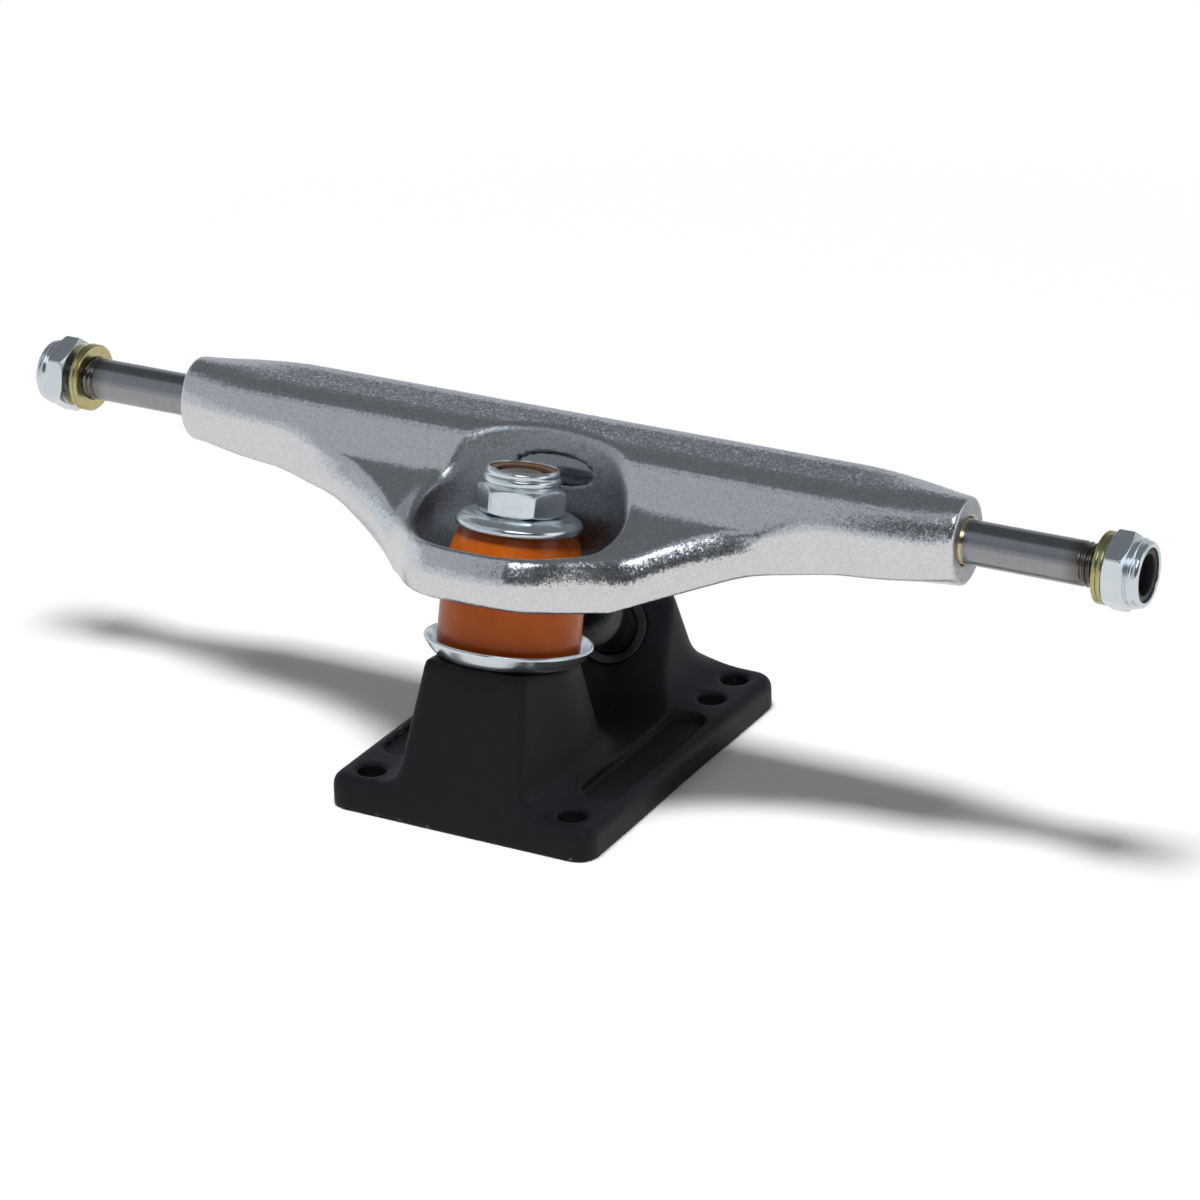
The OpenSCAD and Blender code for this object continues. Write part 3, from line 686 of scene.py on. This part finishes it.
def hanger_section(u):
    """Rounded outline (y, z) of the hanger across half widths u: lip edge, shoulder, ridge, crease, brow,
    crown, heel and keel. Past the wings' merge the ridge joins the face below the crease, the crease fades
    to the plain bar's and the edge comes level with it. The bar is drawn in towards its oval end faces."""
    join = beyond_merge(u, 1, 10)
    fade = beyond_merge(u, 4, 11)
    level = beyond_merge(u, 7, 14)
    deep = ease(u / keel_half)
    drawn = np.clip((u - hanger_half + end_taper) / end_taper, 0, 1) ** 1.8
    front = lip_line(u)
    edge_y = mix(front - edge_out, bar_front + edge_in, level)
    edge_z = kingpin_plane(lip_bottom, front) + edge_climb * np.maximum(u - wing_start + 2, 0)
    edge_z = mix(soft_min(edge_z, bar_bottom + 0.4, 2), bar_bottom + 1, level)
    crease_y = mix(bar_front - crease_out, bar_front, fade)
    crease_z = mix(axle_z - crease_drop, axle_z + crease_rise, fade)
    ridge_y = soft_min(front + ridge_in, crease_y - ridge_gap, ridge_soft)
    web_z = crease_z - web_slope * (crease_y - ridge_y)
    ridge_z = soft_max(kingpin_plane(lip_top, front), web_z, ridge_soft)
    ridge_z = mix(ridge_z, crease_z - mix(*ridge_drops, fade), join)
    on_face = mix(crease_y, edge_y, (crease_z - ridge_z) / (crease_z - edge_z))
    ridge_y = mix(ridge_y, on_face, join)
    shoulder_z = mix(ridge_z - shoulder_drop, mix(ridge_z, edge_z, 0.5), join)
    shoulder_y = mix(front - shoulder_out, mix(ridge_y, edge_y, 0.5), join)
    corners = [
        (edge_y, edge_z),
        (shoulder_y, shoulder_z),
        (ridge_y, ridge_z),
        (crease_y, crease_z),
        (brow_y + 0 * u, bar_top - brow_drop + 0 * u),
        (bar_back - 0.4 + 0 * u, bar_top + 0.1 + 0 * u),
        (bar_back + 0 * u, bar_bottom + 2 + 0 * u),
        (mix(keel_y, axle_y, deep), mix(kingpin_plane(lip_bottom, keel_y), bar_bottom, deep)),
    ]
    outline = np.stack([np.stack(corner, axis=-1) for corner in corners], axis=-2)
    curves = rounded(outline, section_setbacks, section_steps)
    curves = curves.reshape(*outline.shape[:-1], section_steps + 1, 2)
    gap = np.roll(curves[..., :1, :], -1, axis=-3) - curves[..., -1:, :]
    sides = curves[..., -1:, :] + gap * np.array([[0.25], [0.5], [0.75]])
    outline = np.concatenate([curves, sides], axis=-2).reshape(*outline.shape[:-2], -1, 2)
    from_axle = outline - [axle_y, axle_z]
    end_oval = from_axle / np.linalg.norm(from_axle / [end_half_y, end_half_z], axis=-1, keepdims=True)
    return mix(from_axle, end_oval, drawn[..., None, None]) + [axle_y, axle_z]


def outline_distance(spots, outline):
    """Distance of each spot from its own closed outline: to the nearest side, and negative where a line
    straight along the first axis crosses the sides an odd number of times."""
    spot = spots[..., None, :]
    side = np.roll(outline, -1, axis=-2) - outline
    gap = spot - outline
    share = (gap * side).sum(-1) / np.maximum((side**2).sum(-1), 1e-9)
    nearest = (gap - np.clip(share, 0, 1)[..., None] * side) ** 2
    above = spot[..., 1] >= outline[..., 1]
    below_next = spot[..., 1] < np.roll(outline[..., 1], -1, axis=-1)
    left = side[..., 0] * gap[..., 1] > side[..., 1] * gap[..., 0]
    crossed = (above & below_next & left) | ~(above | below_next | left)
    sign = np.where(crossed.sum(-1) % 2 == 1, -1, 1)
    return sign * np.sqrt(nearest.sum(-1).min(-1))


arm_root = np.array([0, axle_y, bar_bottom + 3])
arm_root_half = 8
arm_foot = pivot_mouth + 9.5 * steer_axis
arm_r = 5.8
arm_fillet = 4


def arm_field(points):
    """Distance outside the pivot arm: within a radius of the triangle from its two roots to its foot. The
    triangle is folded at its middle, so the nearest point is found in the half that runs down one side."""
    x = np.abs(points[..., 0])
    down = arm_foot - arm_root
    length = np.linalg.norm(down)
    down = down / length
    gap = points - arm_root
    drop = np.clip(gap @ down, 0, length)
    width = arm_root_half * (1 - drop / length)
    flat = gap - (gap @ down)[..., None] * down
    out = np.linalg.norm(flat[..., 1:], axis=-1)
    past = gap @ down - drop
    return np.sqrt(np.maximum(x - width, 0) ** 2 + out**2 + past**2) - arm_r


def oval_distance(x, y, half_x, half_y):
    """Distance outside an ellipse, near its edge: the share by which its size is passed, over the slope of
    that share."""
    ratio = np.hypot(x / half_x, y / half_y)
    steep = np.hypot(x / half_x**2, y / half_y**2)
    return (ratio - 1) * ratio / np.maximum(steep, 1e-6)


def bowl_field(points):
    """Distance outside the bowl: an oval cored along the kingpin, down to the ring's web and forward to the
    lip's wall."""
    u = np.abs(points[..., 0])
    height = (points - kingpin_seat) @ kingpin_axis
    across = (points - kingpin_seat) @ kingpin_side
    half = np.where(across > 0, bowl_back, bowl_front)
    bowl = oval_distance(u, across, bowl_half, half)
    bowl = soft_max(bowl, lip_line(u) + lip_wall - points[..., 1], lip_wall_soft)
    fillet = mix(*bowl_fillets, np.minimum(u / bowl_fillet_half, 1) ** 2)
    return soft_max(bowl, bowl_floor - height, fillet)


def hanger_field(points):
    """Distance outside the hanger: its section at each half width, cut off at the end faces, with the arm
    and the round nose blended on, less the bowl, the ring's hole and seat, and the axle's bore."""
    u = np.abs(points[..., 0])
    one_slice = points.ndim == 3
    outline = hanger_section(u[:1, 0])[:, None] if one_slice else hanger_section(u)
    body = outline_distance(points[..., 1:], outline)
    body = soft_max(body, u - hanger_half, end_edge)
    body = soft_min(body, arm_field(points), arm_fillet)
    nose_t, from_nose = along_axis(points, pivot_mouth, steer_axis)
    nose_end = nose_r + cup_wall + nose_gap - cup_depth
    nose = np.hypot(from_nose, np.minimum(nose_t - nose_end, 0)) - nose_r
    body = soft_min(body, np.maximum(nose, nose_t - nose_l), nose_fillet)
    height, from_kingpin = along_axis(points, kingpin_seat, kingpin_axis)
    body = soft_max(body, -bowl_field(points), bowl_rim)
    seat = np.maximum(from_kingpin - ring_seat_r, height - ring_seat)
    body = soft_max(body, -seat, machined_edge)
    body = soft_max(body, ring_hole_r - from_kingpin, machined_edge)
    from_axle = np.hypot(points[..., 1] - axle_y, points[..., 2] - axle_z)
    return soft_max(body, axle_bore - from_axle, machined_edge)


def tilted(place, size, tilt):
    """Normals of flattened grains of a size in millimetres. Each leans its own way, by the cube of a
    random share of a tilt, so that most lie nearly flat and a few stand out."""
    normal = place.add("ShaderNodeNewGeometry", {}, {}, "Normal")
    own = grains(place, size, "Color")
    own = own.add("ShaderNodeVectorMath", {"operation": "SUBTRACT"}, {0: own, 1: (0.5, 0.5, 0.5)})
    squared = own.add("ShaderNodeVectorMath", {"operation": "MULTIPLY"}, {0: own, 1: own})
    own = own.add("ShaderNodeVectorMath", {"operation": "MULTIPLY"}, {0: own, 1: squared})
    turn = (tilt / 0.5**3,) * 3
    leaning = own.add("ShaderNodeVectorMath", {"operation": "MULTIPLY_ADD"}, {0: own, 1: turn, 2: normal})
    return leaning.add("ShaderNodeVectorMath", {"operation": "NORMALIZE"}, {0: leaning})


def tumbled_aluminium():
    """Tumbled cast aluminium: flattened grains that each lean a little and glint, small dark pits, and the
    dull skin of the mould in the bowl and on the sawn ends. The nose carries painted shade: near black, not
    metallic."""
    material, place = new_finish("tumbled_cast_aluminium")
    cloud = noise(place, 6, 4)
    flake = grey_of(grains(place, 0.31, "Color"))
    pit = noise(place, 0.9, 5, 0.7).clear_of(0.68, 0.75)
    sockets = {0: place, 1: steer_axis}
    along = place.add("ShaderNodeVectorMath", {"operation": "DOT_PRODUCT"}, sockets, "Value")
    # Painted shade: the nose and the arm's foot are coloured near black and made not metallic, standing in
    # for the deep shade round the pivot cup. This covers everything on the cup side of a plane square to the
    # steer axis at the nose's top, and fades out over 6 mm past it.
    nose_top = pivot_mouth @ steer_axis + nose_l
    nose = 1 - along.clear_of(nose_top * MM, (nose_top + 6) * MM)
    raw = place.add("ShaderNodeAttribute", {"attribute_name": "raw"}, {}, "Fac")
    bright = mixed(flake, (0.68, 0.685, 0.7, 1), (0.8, 0.805, 0.815, 1))
    dull = mixed(flake, (0.34, 0.35, 0.37, 1), (0.5, 0.51, 0.53, 1))
    pitted = mixed(pit * 0.4, mixed(raw, bright, dull), (0.25, 0.25, 0.26, 1))
    surface(place, {
        "Base Color": mixed(nose, pitted, (0.012, 0.012, 0.013, 1)),
        "Metallic": 1 - nose,
        "Roughness": 0.16 + 0.08 * cloud + 0.05 * flake + 0.2 * raw,
        "Normal": tilted(place, 0.3, 0.09),
    })
    return material


def rawness(points):
    """1 in the bowl and on the end faces, which the tumbling leaves dull, and 0 elsewhere."""
    in_bowl = 1 - in_blocks(bowl_field, points) / 0.8
    at_end = (np.abs(points[:, 0]) - hanger_half) / 0.2 + 1
    return np.clip(np.maximum(in_bowl, at_end), 0, 1)


hanger_skin = cast_surface(hanger_field, hanger_low - 2, hanger_high + 1, hanger_cell)
hanger = piece("cast_hanger", hanger_skin, tumbled_aluminium(), "hanger")
mark(hanger, "raw", rawness)
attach(hanger, "hanger")

# Axle: a ground steel rod pressed through the bar, with a rolled thread at each end for its nut.
# A warm band shows where it leaves each end face, and the threads are coloured a darker grey.

axle_half = 222.25 / 2
axle_r = 7.94 / 2
grip_r = axle_r + 0.15
axle_thread_l, axle_thread_depth = 10.1, 0.5
axle_chamfer = 0.5
band_l = 0.3
shoulder = axle_half - axle_thread_l
axle_origin = np.array([0, axle_y, axle_z])
side_z = np.array([0, 0, 1.0])


def axle_steel():
    """Ground steel: fine rings round the rod, a warm band at the bar's end faces and darker threads."""
    material, place = new_finish("ground_axle_steel")
    along = place.add("ShaderNodeSeparateXYZ", {}, {"Vector": place}, "X")
    out = along.maths("ABSOLUTE", along, 0.0)
    past_face = out - hanger_half * MM
    face = 1 - past_face.maths("ABSOLUTE", past_face, 0.0) * (1 / (band_l * MM))
    thread = out.clear_of((shoulder - 2.5) * MM, shoulder * MM)
    stretched = place.add("ShaderNodeMapping", {}, {"Vector": place, "Scale": (1, 0.04, 0.04)})
    ring = noise(stretched, 0.25, 3, 0.7)
    cloud = noise(place, 3, 3)
    steel = mixed(ring, (0.27, 0.27, 0.28, 1), (0.42, 0.42, 0.43, 1))
    # The threads are coloured a darker grey from their start out to the ends, fading in over 2.5 mm before
    # it.
    dark_threads = mixed(thread, steel, (0.2, 0.19, 0.18, 1))
    surface(place, {
        "Base Color": mixed(face.clear_of(0, 0.5), dark_threads, (0.72, 0.58, 0.26, 1)),
        "Metallic": 1.0,
        "Roughness": 0.13 + 0.12 * ring + 0.05 * cloud,
        "Normal": bumped(ring, 0.02),
    })
    return material


thread_rows = np.linspace(shoulder - 0.5, axle_half, 110)
journal_rows = np.linspace(hanger_half + 0.2, shoulder - 0.6, 30)
side_rows = np.concatenate([[0, hanger_half], journal_rows, thread_rows])
side_radii = np.where(side_rows > hanger_half, axle_r, grip_r)
chamfered = np.minimum(side_radii, axle_r + axle_half - axle_chamfer - side_rows)
side_radii = np.where(side_rows < shoulder, side_radii, chamfered)
axle_rows = np.concatenate([-side_rows[:0:-1], side_rows])
axle_radii = np.concatenate([side_radii[:0:-1], side_radii])
axle_outline = np.stack([axle_radii, axle_rows], axis=-1)
axle_outline = np.concatenate([[[0, -axle_half]], axle_outline, [[0, axle_half]]])
axle_thread = threaded(thread_pitch, axle_thread_depth, shoulder, axle_half)


def axle_shape(radius, height, angle):
    """A thread at each end; points on the axis stay there."""
    return np.where(radius > 1, axle_thread(radius, np.abs(height), angle), radius)


axle_skin = turned(axle_outline, axle_origin, side_x, side_z, 120, axle_shape)
axle = piece("ground_axle", axle_skin, axle_steel(), "axle")
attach(axle, "hanger")

# Top bushing: a cast urethane cone, brighter orange, between the bowl's floor and the top washer.
# Its foot is carried by the bowl and its crown held by the washer.

top_washer_seat = 25.2
top_bushing_outline = rounded(np.array([
    [washer_bore, bowl_floor],
    [12.5, bowl_floor],
    [10.0, top_washer_seat],
    [washer_bore, top_washer_seat],
]), [0.3, 0.8, 0.8, 0.3])
top_bushing_skin = turned(divided(top_bushing_outline, 0.4), kingpin_seat, kingpin_axis, side_x)
top_orange = urethane("top_orange_urethane", (0.56, 0.1, 0.001, 1), (0.74, 0.165, 0.002, 1), 0.22)
top_bushing = piece("poured_top_bushing", top_bushing_skin, top_orange, "top_bushing")
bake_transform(top_bushing)

# Top cup washer: a smaller pressing of zinc-plated steel, turned over, that caps the top bushing.
# The kingpin nut clamps it.

top_washer_outline = rounded(np.array([
    [washer_bore, top_washer_seat],
    [10.4, top_washer_seat],
    [10.6, top_washer_seat - 1],
    [11.5, top_washer_seat - 1],
    [11.5, top_washer_seat + 0.3],
    [9.7, top_washer_seat + 1.5],
    [washer_bore, top_washer_seat + 1.5],
]), [0.2, 0.3, 0.2, 0.3, 0.9, 1.8, 0.2])
top_washer_skin = turned(divided(top_washer_outline, 0.3), kingpin_seat, kingpin_axis, side_x)
top_washer = piece("pressed_top_washer", top_washer_skin, zinc, "top_cup_washer")
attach(top_washer, "base")

# Kingpin nut: a zinc-plated steel lock nut, six chamfered flats under a round collar.
# The collar is rolled in over a brown nylon ring, which grips the kingpin's thread.

insert_wall = 1.3


def lock_nut_outline(flat, length, bore, foot):
    """Outline of a lock nut from its foot up: chamfered hex, neck, round collar, rolled lip and recess."""
    corner = flat / np.cos(np.pi / 6)
    hex_h = 0.6 * length
    chamfer = 0.6 * (corner - flat)
    recess = bore - fit_gap + insert_wall
    outline = np.array([
        [bore, 0],
        [flat - 0.2, 0],
        [corner, chamfer],
        [corner, hex_h - chamfer],
        [flat - 0.2, hex_h + 0.05],
        [flat - 0.6, hex_h + 0.3],
        [flat - 0.15, hex_h + 0.7],
        [flat - 0.15, length - 1.6],
        [flat - 0.6, length - 1.3],
        [flat - 0.4, length - 0.6],
        [flat - 0.9, length],
        [recess - 0.1, length - 0.1],
        [recess, length - 0.6],
        [recess, length - 2],
        [bore, length - 2],
    ])
    softened = rounded(outline, [0.1, 0.2, 0.3, 0.3, 0.3, 0.3, 0.4, 0.5, 0.3, 0.4, 0.4, 0.3, 0.2, 0.1, 0.1])
    return divided(softened + [0, foot], 0.16)


def nylon_ring_outline(length, bore, foot):
    """Outline of the nylon ring in a lock nut's collar."""
    recess = bore - fit_gap + insert_wall
    bottom, top = foot + 0.7 * length - 0.5, foot + length - 0.5
    square = np.array([[bore, bottom], [recess, bottom], [recess, top], [bore, top]])
    return divided(rounded(square, [0.2, 0.2, 0.3, 0.3]), 0.3)


def nylon(name, deep, pale):
    """Nylon with a dull moulded sheen."""
    material, place = new_finish(name)
    cloud = noise(place, 1, 3)
    surface(place, {
        "Base Color": mixed(cloud, deep, pale),
        "Roughness": 0.35 + 0.2 * cloud,
        "Normal": bumped(noise(place, 0.4, 2), 0.02),
    })
    return material


kingpin_nut_foot = 26.7
kingpin_nut_h = 8.3
kingpin_nut_turn = np.radians(15)
kingpin_nut_skin = turned(
    lock_nut_outline(head_flat, kingpin_nut_h, washer_bore, kingpin_nut_foot),
    kingpin_seat, kingpin_axis, side_x, 240, hexagonal(head_flat, kingpin_nut_turn, 0.2))
kingpin_nut = piece("forged_kingpin_nut", kingpin_nut_skin, zinc, "kingpin_nut")
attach(kingpin_nut, "base")
brown_nylon = nylon("brown_nylon", (0.1, 0.055, 0.03, 1), (0.16, 0.09, 0.05, 1))
kingpin_ring_outline = nylon_ring_outline(kingpin_nut_h, washer_bore, kingpin_nut_foot)
kingpin_ring_skin = turned(kingpin_ring_outline, kingpin_seat, kingpin_axis, side_x, 120)
kingpin_ring = piece(
    "kingpin_nylon_ring", kingpin_ring_skin, brown_nylon, "kingpin_nut_insert")
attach(kingpin_ring, "base")

# Axle washers: two thin steel washers at each end, stamped from sheet and plated in yellow zinc.
# They are loose on the axle, inside the nut.


def yellow_zinc():
    """Yellow chromate over zinc: gold that drifts to green and rose."""
    material, place = new_finish("yellow_zinc_plate")
    drift = noise(place, 2.5, 3)
    tint = place.add("ShaderNodeValToRGB", {"stops": [
        (0.3, (0.5, 0.34, 0.17, 1)),
        (0.45, (0.6, 0.5, 0.24, 1)),
        (0.58, (0.48, 0.5, 0.26, 1)),
        (0.7, (0.54, 0.36, 0.3, 1)),
    ]}, {"Fac": drift}, "Color")
    surface(place, {
        "Base Color": tint,
        "Metallic": 1.0,
        "Roughness": 0.16 + 0.16 * noise(place, 0.8, 3),
        "Normal": bumped(noise(place, 0.7, 3), 0.02),
    })
    return material


gold = yellow_zinc()
axle_washer_r, axle_washer_t = 6.4, 0.9
axle_washer_bore = axle_r + 0.2
nut_length = 6.6
nut_foot = axle_half + 2 - nut_length
left_play = 1.6
washer_square = np.array([
    [axle_washer_bore, 0],
    [axle_washer_r, 0],
    [axle_washer_r, axle_washer_t],
    [axle_washer_bore, axle_washer_t],
])
washer_outline = divided(rounded(washer_square, [0.15, 0.3, 0.3, 0.15]), 0.25)
ends = {"left": (-side_x, left_play), "right": (side_x, 0)}
for end, (out, play) in ends.items():
    for number, rank in ((2, "inner"), (1, "outer")):
        foot = nut_foot - play - number * axle_washer_t
        washer_skin = turned(washer_outline + [0, foot], axle_origin, out, side_z)
        node = f"{rank}_washer_{end}"
        washer = piece(f"stamped_{node}", washer_skin, gold, node)
        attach(washer, f"washers_{end}")

# Axle nuts: zinc-plated steel lock nuts with a black nylon ring in the rolled collar.
# They are run up close to the ends of the axle.

nut_flat = 12.7 / 2
nut_bore = axle_r - 0.4 + fit_gap
nut_turns = {"left": np.radians(8), "right": np.radians(54)}
black_nylon = nylon("black_nylon", (0.012, 0.012, 0.013, 1), (0.03, 0.03, 0.032, 1))
for end, (out, _) in ends.items():
    nut_outline = lock_nut_outline(nut_flat, nut_length, nut_bore, nut_foot)
    nut_skin = turned(nut_outline, axle_origin, out, side_z, 240, hexagonal(nut_flat, nut_turns[end], 0.2))
    nut = piece(f"forged_axle_nut_{end}", nut_skin, zinc, f"axle_nut_{end}")
    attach(nut, f"nut_{end}")
    ring_skin = turned(nylon_ring_outline(nut_length, nut_bore, nut_foot), axle_origin, out, side_z, 120)
    ring = piece(f"nylon_ring_{end}", ring_skin, black_nylon, f"axle_nut_insert_{end}")
    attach(ring, f"nut_{end}")

# Studio: a white table under one lamp high overhead, with soft light all round, and the boards of a tent
# that only show as reflections in the metal. The camera stands where the photographer did.


def board(name, points, faces, material):
    """A stage mesh from points in metres."""
    mesh = bpy.data.meshes.new(name)
    mesh.from_pydata(points, [], faces)
    mesh.materials.append(material)
    made = bpy.data.objects.new(name, mesh)
    bpy.context.scene.collection.objects.link(made)
    return made


def light_path(tree, *rays):
    """1 for rays of the named kinds."""
    paths = [Wire(tree).add("ShaderNodeLightPath", {}, {}, ray) for ray in rays]
    found = paths[0]
    for path in paths[1:]:
        found = found.maths("MAXIMUM", found, path)
    return found


sweep, wire = empty_material("white_table")
to_camera = light_path(sweep.node_tree, "Is Camera Ray")
paper = mixed(to_camera, (0.76, 0.76, 0.76, 1), (1, 1, 1, 1))
matte = wire.add("ShaderNodeBsdfDiffuse", {}, {"Color": paper})
spot = wire.add("ShaderNodeTexCoord", {}, {}, "Object")
away = spot.add("ShaderNodeVectorMath", {"operation": "LENGTH"}, {0: spot}, "Value")
white = wire.add("ShaderNodeEmission", {}, {"Color": (1, 1, 1, 1)})
far = away.clear_of(0.17, 0.4) * to_camera
table = far.add("ShaderNodeMixShader", {}, {0: far, 1: matte, 2: white})
wire.add("ShaderNodeOutputMaterial", {}, {"Surface": table})
reach = 1.6
board("table", [(-reach, -reach, 0), (reach, -reach, 0), (reach, reach, 0), (-reach, reach, 0)],
      [(0, 1, 2, 3)], sweep)


def tent_board(name, points, faces, level):
    """A board of the tent: a plain grey that only mirrors see, and that casts no light or shade."""
    grey, inside = empty_material(name)
    glow = inside.add("ShaderNodeEmission", {}, {"Color": (level * 0.94, level * 1.02, level * 1.1, 1)})
    inside.add("ShaderNodeOutputMaterial", {}, {"Surface": glow})
    made = board(name, points, faces, grey)
    made.visible_camera = False
    made.visible_diffuse = False
    made.visible_transmission = False
    made.visible_shadow = False


def tent_wall(name, bearings, elevations, level, radius=2.2, steps=12):
    """A patch of a sphere between two bearings, clockwise from the back, and two elevations, in degrees."""
    bearing = np.radians(np.linspace(*bearings, steps))[:, None] + np.zeros(steps)
    elevation = np.radians(np.linspace(*elevations, steps)) + np.zeros((steps, 1))
    flat = np.cos(elevation) * radius
    points = np.stack([np.sin(bearing) * flat, np.cos(bearing) * flat, np.sin(elevation) * radius], axis=-1)
    number = np.arange(steps * steps).reshape(steps, steps)
    faces = np.stack([number[:-1, :-1], number[1:, :-1], number[1:, 1:], number[:-1, 1:]], axis=-1)
    tent_board(name, points.reshape(-1, 3).tolist(), faces.reshape(-1, 4).tolist(), level)


def tent_roof(name, low, high, height, level):
    """A flat board overhead between two corners."""
    points = [(low[0], low[1], height), (high[0], low[1], height), (high[0], high[1], height),
              (low[0], high[1], height)]
    tent_board(name, points, [(0, 1, 2, 3)], level)


tent_roof("tent_roof", (-4, -0.4), (4, 2.6), 1.6, 0.14)
tent_roof("tent_lamp_panel", (0.05, -1.5), (1.3, -0.6), 1.5, 2.5)
tent_wall("tent_front_left", (180, 275), (15, 88), 0.43)
tent_wall("tent_front_right", (95, 180), (8, 88), 0.04)
tent_wall("tent_front_corner", (180, 196), (24, 88), 0.04, 2.1)
tent_wall("tent_front_low", (180, 245), (-3, 15), 0.6)
tent_wall("tent_left", (245, 300), (-3, 15), 0.75)
tent_wall("tent_left_high", (275, 300), (15, 38), 0.3)
tent_wall("tent_back", (300, 420), (-3, 30), 0.5)
tent_wall("tent_right", (60, 95), (-3, 38), 1.0)


def strip_lamp(name, place, turn, length, width, power):
    """A long lamp that shines straight down, is turned from the axle and isn't seen by mirrors."""
    lamp = bpy.data.lights.new(name, "AREA")
    lamp.shape = "RECTANGLE"
    lamp.size = length
    lamp.size_y = width
    lamp.energy = power
    made = bpy.data.objects.new(name, lamp)
    made.location = place
    made.rotation_euler = (0, 0, turn)
    made.visible_glossy = False
    bpy.context.scene.collection.objects.link(made)


strip_lamp("overhead_lamp", (0.0, -0.2, 2.5), np.radians(6), 0.9, 0.45, 55)

world = bpy.data.worlds.new("studio")
bpy.context.scene.world = world
world.use_nodes = True
world.node_tree.nodes.clear()
seen = light_path(world.node_tree, "Is Camera Ray", "Is Glossy Ray", "Is Transmission Ray")
level = 0.18 + 0.82 * seen
light = seen.add("ShaderNodeBackground", {}, {"Color": (1, 1, 1, 1), "Strength": level})
seen.add("ShaderNodeOutputWorld", {}, {"Surface": light})

camera_data = bpy.data.cameras.new("camera")
camera_data.sensor_width = 36
camera_data.lens = 132.36
camera_data.clip_end = 20
camera = bpy.data.objects.new("camera", camera_data)
bpy.context.scene.collection.objects.link(camera)
azimuth, elevation, roll = np.radians([28.98, 23.92, -1.23])
facing = Matrix.Rotation(azimuth, 4, "Z") @ Matrix.Rotation(np.pi / 2 - elevation, 4, "X")
camera.matrix_world = Matrix.Translation((0.3637, -0.6345, 0.3569)) @ facing @ Matrix.Rotation(roll, 4, "Z")
bpy.context.scene.camera = camera
bpy.context.scene.view_settings.view_transform = "Standard"
